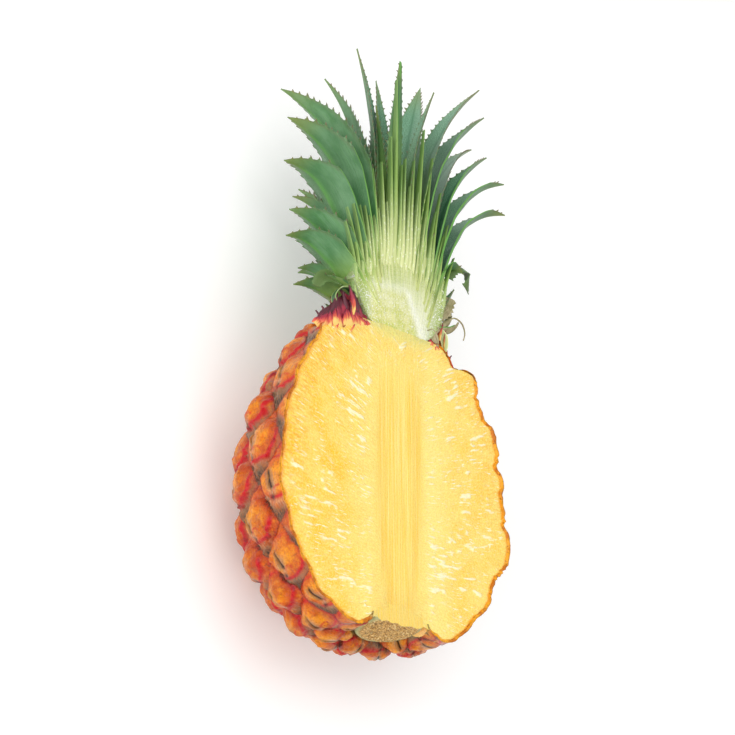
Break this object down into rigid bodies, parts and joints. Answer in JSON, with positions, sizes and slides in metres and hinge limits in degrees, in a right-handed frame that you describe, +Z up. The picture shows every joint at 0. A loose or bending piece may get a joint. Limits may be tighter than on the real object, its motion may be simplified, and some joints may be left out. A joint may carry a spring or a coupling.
{
  "type": "pineapple half",
  "caption": "Small ripe pineapple cut lengthwise through its crown, lying on its rind with the cut face up: golden flesh, pale core, knobbly orange rind and spiny green leaves.",
  "frame": {"origin": "middle of the bounding box's footprint, on the surface that the rind rests on", "axes": "+Y along the fruit from its base to the tips of the crown, +Z up out of the flat cut face, +X to the right seen from above with the crown away"},
  "size_m": [0.1116, 0.2432, 0.0581],
  "materials": {
    "rind": "satin",
    "flesh": "gloss",
    "core": "satin",
    "stem_stub": "matte",
    "crown_stem": "gloss",
    "neck_bracts": "matte",
    "leaf": "satin",
    "dried_leaf": "matte"
  },
  "bodies": {
    "root": {"rind": "rind", "flesh": "flesh", "core": "core", "stem_stub": "stem_stub", "crown_stem": "crown_stem", "neck_bracts": "neck_bracts", "leaf_01": "leaf", "leaf_02": "leaf", "leaf_03": "leaf", "leaf_04": "leaf", "leaf_05": "leaf", "leaf_06": "leaf", "leaf_07": "leaf", "leaf_08": "leaf", "leaf_09": "leaf", "leaf_10": "leaf", "leaf_11": "leaf", "leaf_12": "leaf", "leaf_13": "leaf", "leaf_14": "leaf", "leaf_15": "leaf", "leaf_16": "leaf", "leaf_17": "leaf", "leaf_18": "leaf", "leaf_19": "leaf", "leaf_20": "leaf", "leaf_21": "leaf", "leaf_22": "leaf", "leaf_23": "leaf", "leaf_24": "leaf", "leaf_25": "leaf", "leaf_26": "leaf", "leaf_27": "leaf", "leaf_28": "leaf", "leaf_29": "leaf", "leaf_30": "leaf", "leaf_31": "leaf", "leaf_32": "leaf", "leaf_33": "leaf", "leaf_34": "leaf", "leaf_35": "leaf", "dried_leaf_1": "dried_leaf", "dried_leaf_2": "dried_leaf"}
  },
  "joints": []
}
